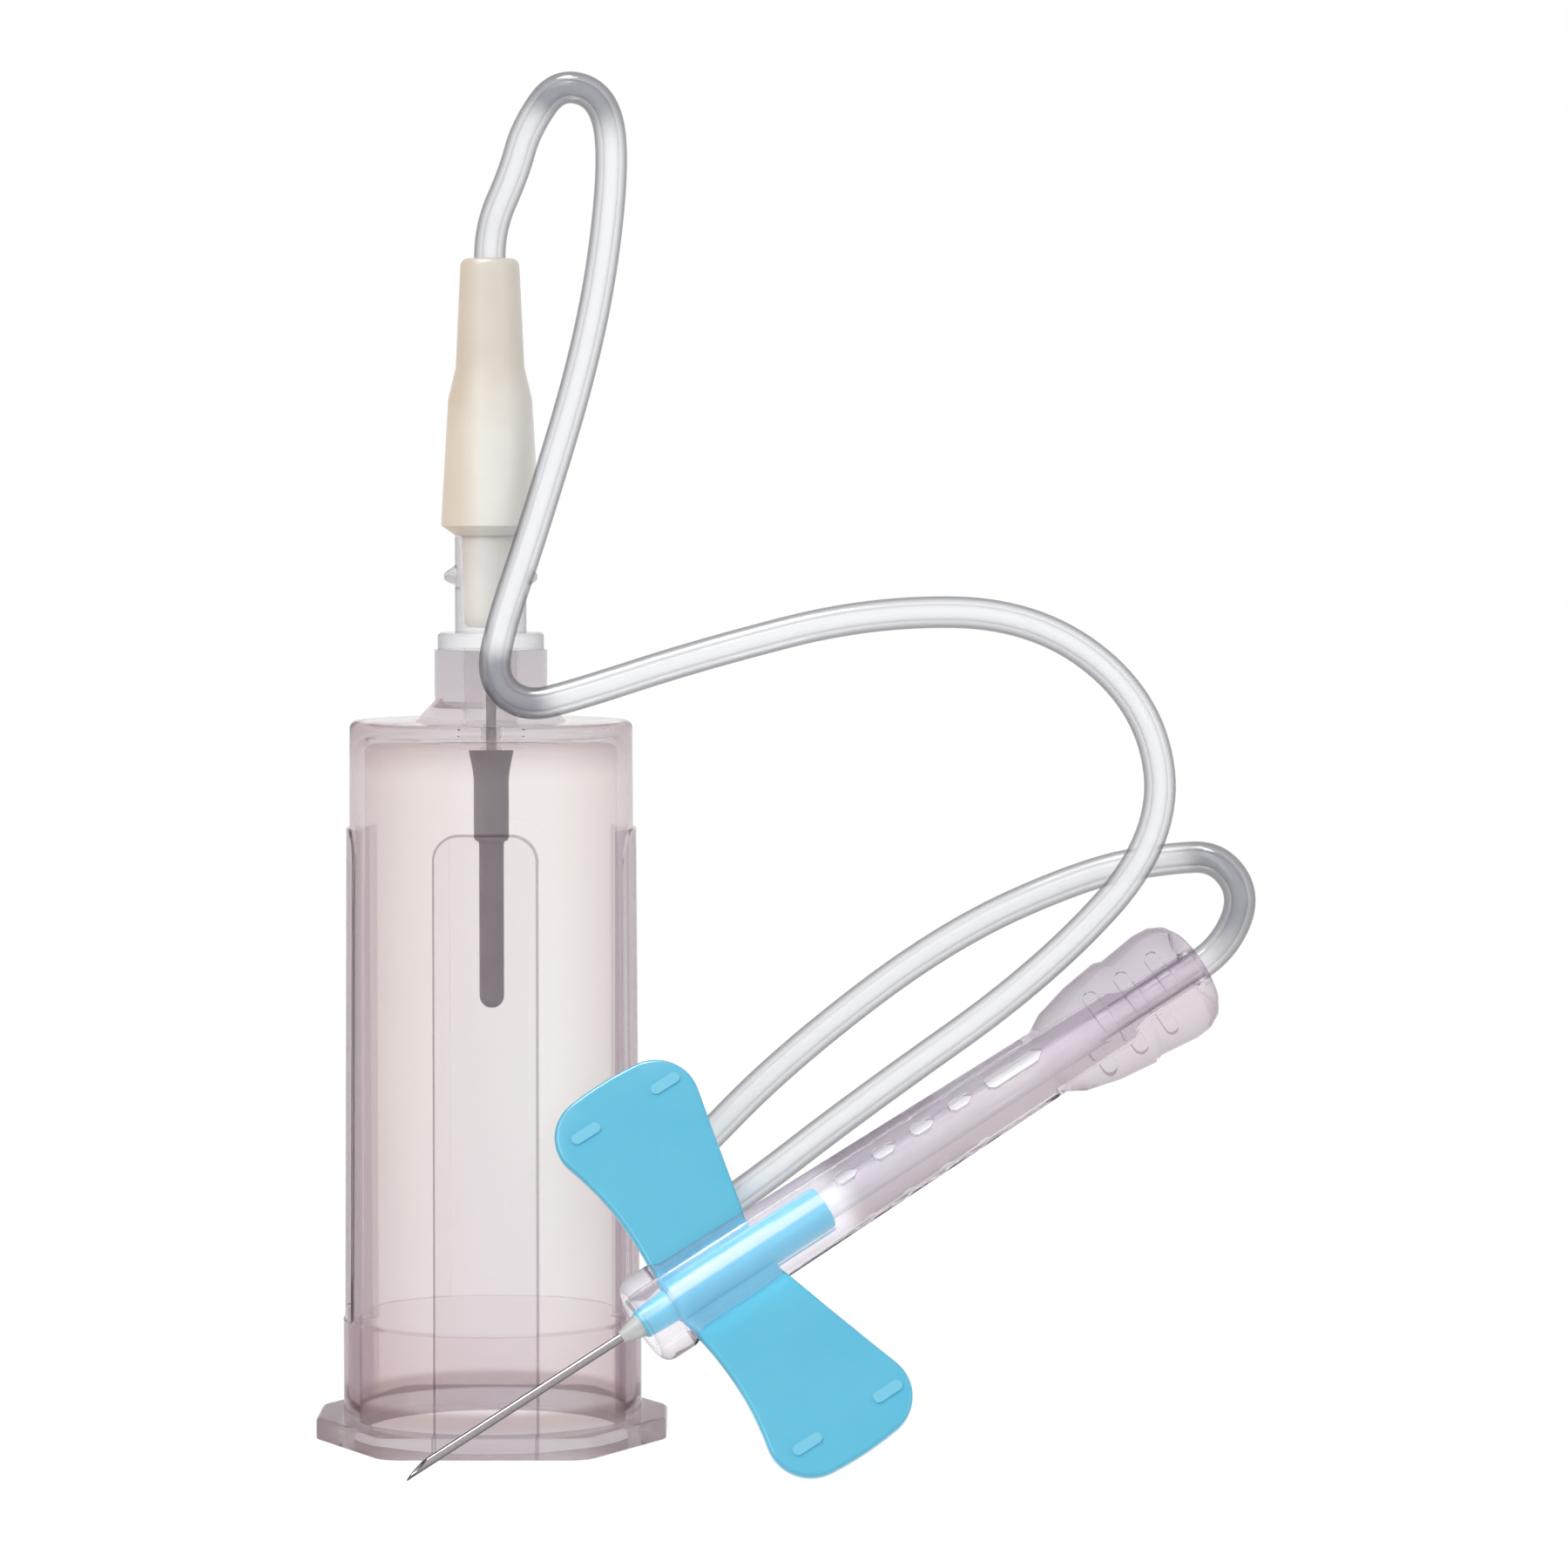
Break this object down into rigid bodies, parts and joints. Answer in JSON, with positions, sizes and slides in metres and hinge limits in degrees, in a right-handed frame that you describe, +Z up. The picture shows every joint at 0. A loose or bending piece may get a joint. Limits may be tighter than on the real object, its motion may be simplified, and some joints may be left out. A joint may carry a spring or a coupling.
{
  "type": "winged blood collection needle set with tube holder",
  "caption": "Winged blood collection needle with a sliding slotted safety shield, flexible tubing, ivory connector, and an open-bottomed tube holder over a sleeved cannula.",
  "frame": {"origin": "centre of the tube holder's mouth, on the table that its flange stands on", "axes": "+Z up along the holder's axis, the mouth opens towards -Z, -Y towards the viewer in front of the flange's flat side, +X to the right, where the tubing loops and the winged needle lies"},
  "size_m": [0.0682, 0.035, 0.0991],
  "materials": {
    "holder_plastic": "translucent moulded polypropylene, smooth",
    "adapter_plastic": "clear moulded plastic",
    "needle_steel": "drawn stainless steel, bright",
    "sleeve_rubber": "soft matt grey rubber",
    "ivory_plastic": "opaque ivory moulding, satin",
    "tubing_vinyl": "clear flexible vinyl",
    "wing_plastic": "soft sky-blue vinyl, satin",
    "hub_plastic": "clear off-white moulding",
    "shield_plastic": "translucent lilac-grey moulding"
  },
  "bodies": {
    "set": {"tube_holder": "holder_plastic", "cone_adapter": "adapter_plastic", "rear_cannula": "needle_steel", "tubing_connector": "ivory_plastic", "tubing": "tubing_vinyl", "wing_body": "wing_plastic", "needle_hub": "hub_plastic", "patient_needle": "needle_steel"},
    "shield": {"safety_shield": "shield_plastic"},
    "sleeve": {"rubber_sleeve": "sleeve_rubber"}
  },
  "joints": [
    {"name": "shield_slide", "type": "slide", "parent": "set", "child": "shield", "axis": [-0.8266, -0.2527, -0.5029], "range_m": [0, 0.0237]},
    {"name": "sleeve_retract", "type": "slide", "parent": "set", "child": "sleeve", "axis": [0, 0, 1], "range_m": [0, 0.011], "stiffness_N_per_m": 200, "deforming": ["rubber_sleeve"]}
  ]
}
